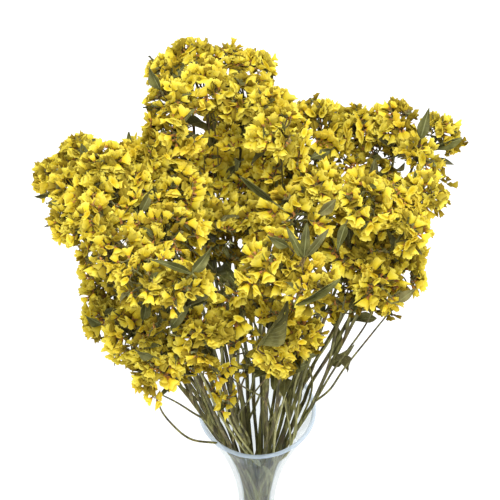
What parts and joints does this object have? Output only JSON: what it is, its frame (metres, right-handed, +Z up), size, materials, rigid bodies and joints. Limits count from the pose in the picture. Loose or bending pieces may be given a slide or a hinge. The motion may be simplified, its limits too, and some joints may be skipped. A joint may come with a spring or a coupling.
{
  "type": "dried statice bunch in a vase",
  "caption": "Large loose bunch of dried yellow statice on branching leafy stems, standing in a clear flared glass vase with a narrow waist and a flat foot.",
  "frame": {"origin": "middle of the vase's flat base, on the surface that it stands on", "axes": "+Z up along the vase's axis; -Y is the side that faces the viewer; +X to the viewer's right"},
  "size_m": [0.3665, 0.3047, 0.6174],
  "materials": {
    "clear_glass": "clear, polished",
    "dried_green": "dry, matt, ridged stems and leathery leaves",
    "papery_yellow": "dry, papery, crinkled"
  },
  "bodies": {
    "root": {"vase": "clear_glass", "stem_01": "dried_green", "stem_02": "dried_green", "stem_03": "dried_green", "stem_04": "dried_green", "stem_05": "dried_green", "stem_06": "dried_green", "stem_07": "dried_green", "stem_08": "dried_green", "stem_09": "dried_green", "stem_10": "dried_green", "stem_11": "dried_green", "stem_12": "dried_green", "stem_13": "dried_green", "stem_14": "dried_green", "stem_15": "dried_green", "stem_16": "dried_green", "stem_17": "dried_green", "stem_18": "dried_green", "stem_19": "dried_green", "stem_20": "dried_green", "stem_21": "dried_green", "stem_22": "dried_green", "stem_23": "dried_green", "stem_24": "dried_green", "stem_25": "dried_green", "stem_26": "dried_green", "stem_27": "dried_green", "stem_28": "dried_green", "flowers_01": "papery_yellow", "flowers_02": "papery_yellow", "flowers_03": "papery_yellow", "flowers_04": "papery_yellow", "flowers_05": "papery_yellow", "flowers_06": "papery_yellow", "flowers_07": "papery_yellow", "flowers_08": "papery_yellow", "flowers_09": "papery_yellow", "flowers_10": "papery_yellow", "flowers_11": "papery_yellow", "flowers_12": "papery_yellow", "flowers_13": "papery_yellow", "flowers_14": "papery_yellow", "flowers_15": "papery_yellow", "flowers_16": "papery_yellow", "flowers_17": "papery_yellow", "flowers_18": "papery_yellow", "flowers_19": "papery_yellow", "flowers_20": "papery_yellow", "flowers_21": "papery_yellow", "flowers_22": "papery_yellow", "flowers_23": "papery_yellow", "flowers_24": "papery_yellow", "flowers_25": "papery_yellow", "flowers_26": "papery_yellow", "flowers_27": "papery_yellow", "flowers_28": "papery_yellow"}
  },
  "joints": []
}
